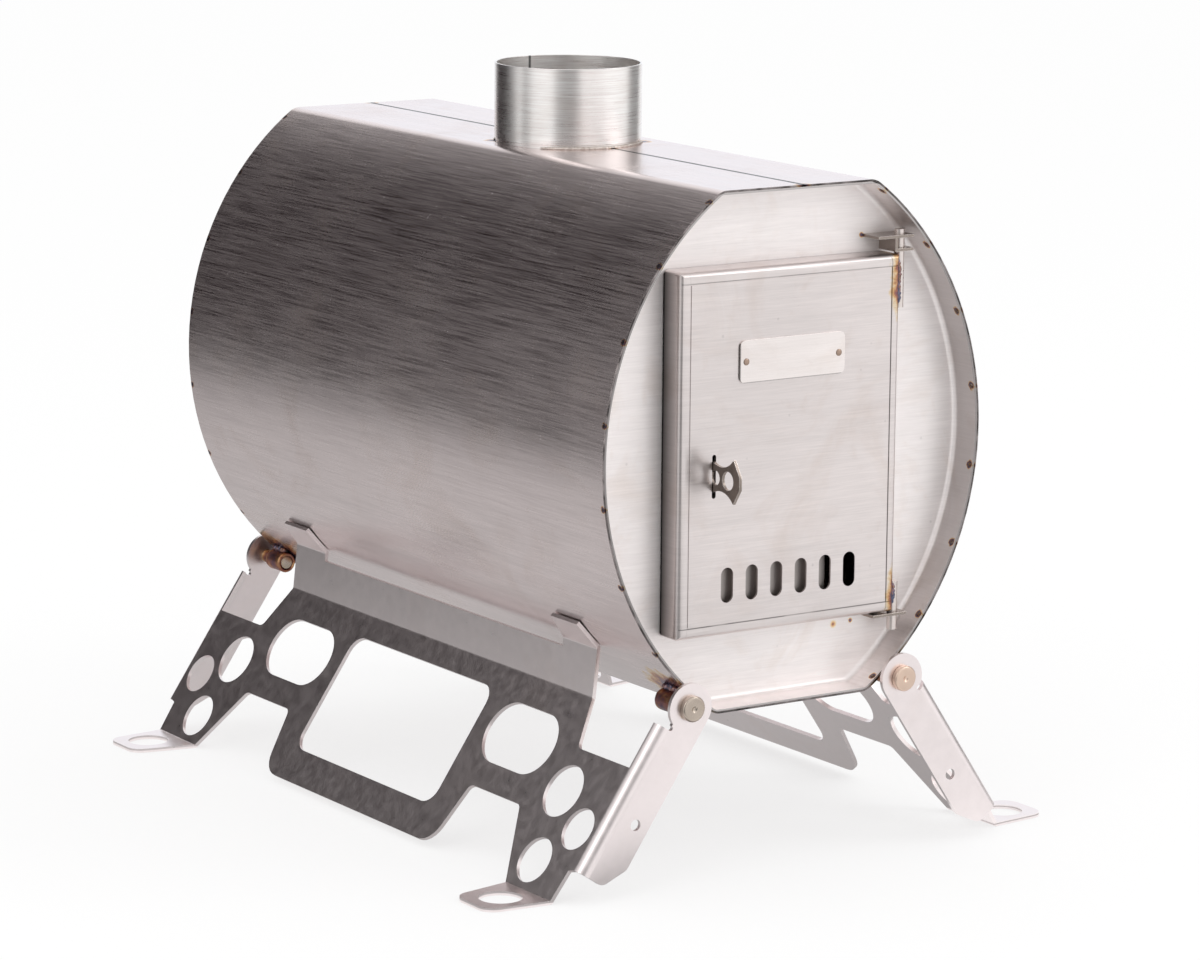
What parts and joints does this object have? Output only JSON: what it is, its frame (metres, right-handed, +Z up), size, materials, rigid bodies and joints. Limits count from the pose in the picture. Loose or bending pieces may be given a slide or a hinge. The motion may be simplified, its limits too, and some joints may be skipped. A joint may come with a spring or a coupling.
{
  "type": "folding tent wood stove",
  "caption": "Portable sheet-steel wood stove: flattened-round shell, hinged door with latch and sliding air damper, flue collar on top, and folding side legs with turned-out feet.",
  "frame": {"origin": "on the floor, under the middle of the overall length and width", "axes": "+Z up; the shell runs along Y with the door at -Y; +X is to the right as seen facing the door"},
  "size_m": [0.3318, 0.4306, 0.372],
  "materials": {
    "brushed_sheet": "brushed along the shell",
    "bright_sheet": "brushed across, bright",
    "plate_sheet": "satin, blank",
    "leg_sheet": "smooth mill finish, darker",
    "latch_steel": "cut plate, slightly browned",
    "turned_steel": "turned, heat tinted",
    "weld_bead": "welded, heat tinted",
    "dull_sheet": "dull sheet"
  },
  "bodies": {
    "firebox": {"shell": "brushed_sheet", "front_pan": "bright_sheet", "rear_pan": "bright_sheet", "flue_collar": "brushed_sheet", "collar_welds": "weld_bead", "front_tacks": "weld_bead", "rear_tacks": "weld_bead", "left_pivot_bushes": "turned_steel", "right_pivot_bushes": "turned_steel", "bush_welds": "weld_bead", "left_pivot_pins": "turned_steel", "right_pivot_pins": "turned_steel", "upper_hinge_lug": "bright_sheet", "lower_hinge_lug": "bright_sheet", "latch_keeper": "bright_sheet", "fire_grate": "dull_sheet", "flame_baffle": "dull_sheet"},
    "door": {"door_panel": "bright_sheet", "upper_hinge_pin": "turned_steel", "lower_hinge_pin": "turned_steel", "hinge_pin_welds": "weld_bead", "name_plate": "plate_sheet", "plate_rivets": "turned_steel", "upper_damper_guide": "bright_sheet", "lower_damper_guide": "bright_sheet", "latch_bracket": "bright_sheet", "latch_pin": "turned_steel"},
    "air_damper": {"air_damper": "dull_sheet"},
    "latch": {"latch_handle": "latch_steel"},
    "left_leg": {"left_leg": "leg_sheet"},
    "right_leg": {"right_leg": "leg_sheet"}
  },
  "joints": [
    {"name": "door_hinge", "type": "hinge", "parent": "firebox", "child": "door", "pos_m": [0.06444, -0.18745, 0.207], "axis": [0, 0, 1], "range_deg": [0, 130]},
    {"name": "damper_slide", "type": "slide", "parent": "door", "child": "air_damper", "axis": [1, 0, 0], "range_m": [-0.004, 0.016]},
    {"name": "latch_pivot", "type": "hinge", "parent": "door", "child": "latch", "pos_m": [-0.04639, -0.18545, 0.1968], "axis": [-1, 0, 0], "range_deg": [-14, 14]},
    {"name": "left_leg_fold", "type": "hinge", "parent": "firebox", "child": "left_leg", "pos_m": [-0.06149, 0.00555, 0.08798], "axis": [0, -1, 0], "range_deg": [0, 124]},
    {"name": "right_leg_fold", "type": "hinge", "parent": "firebox", "child": "right_leg", "pos_m": [0.06149, 0.00555, 0.08798], "axis": [0, 1, 0], "range_deg": [0, 112]}
  ]
}
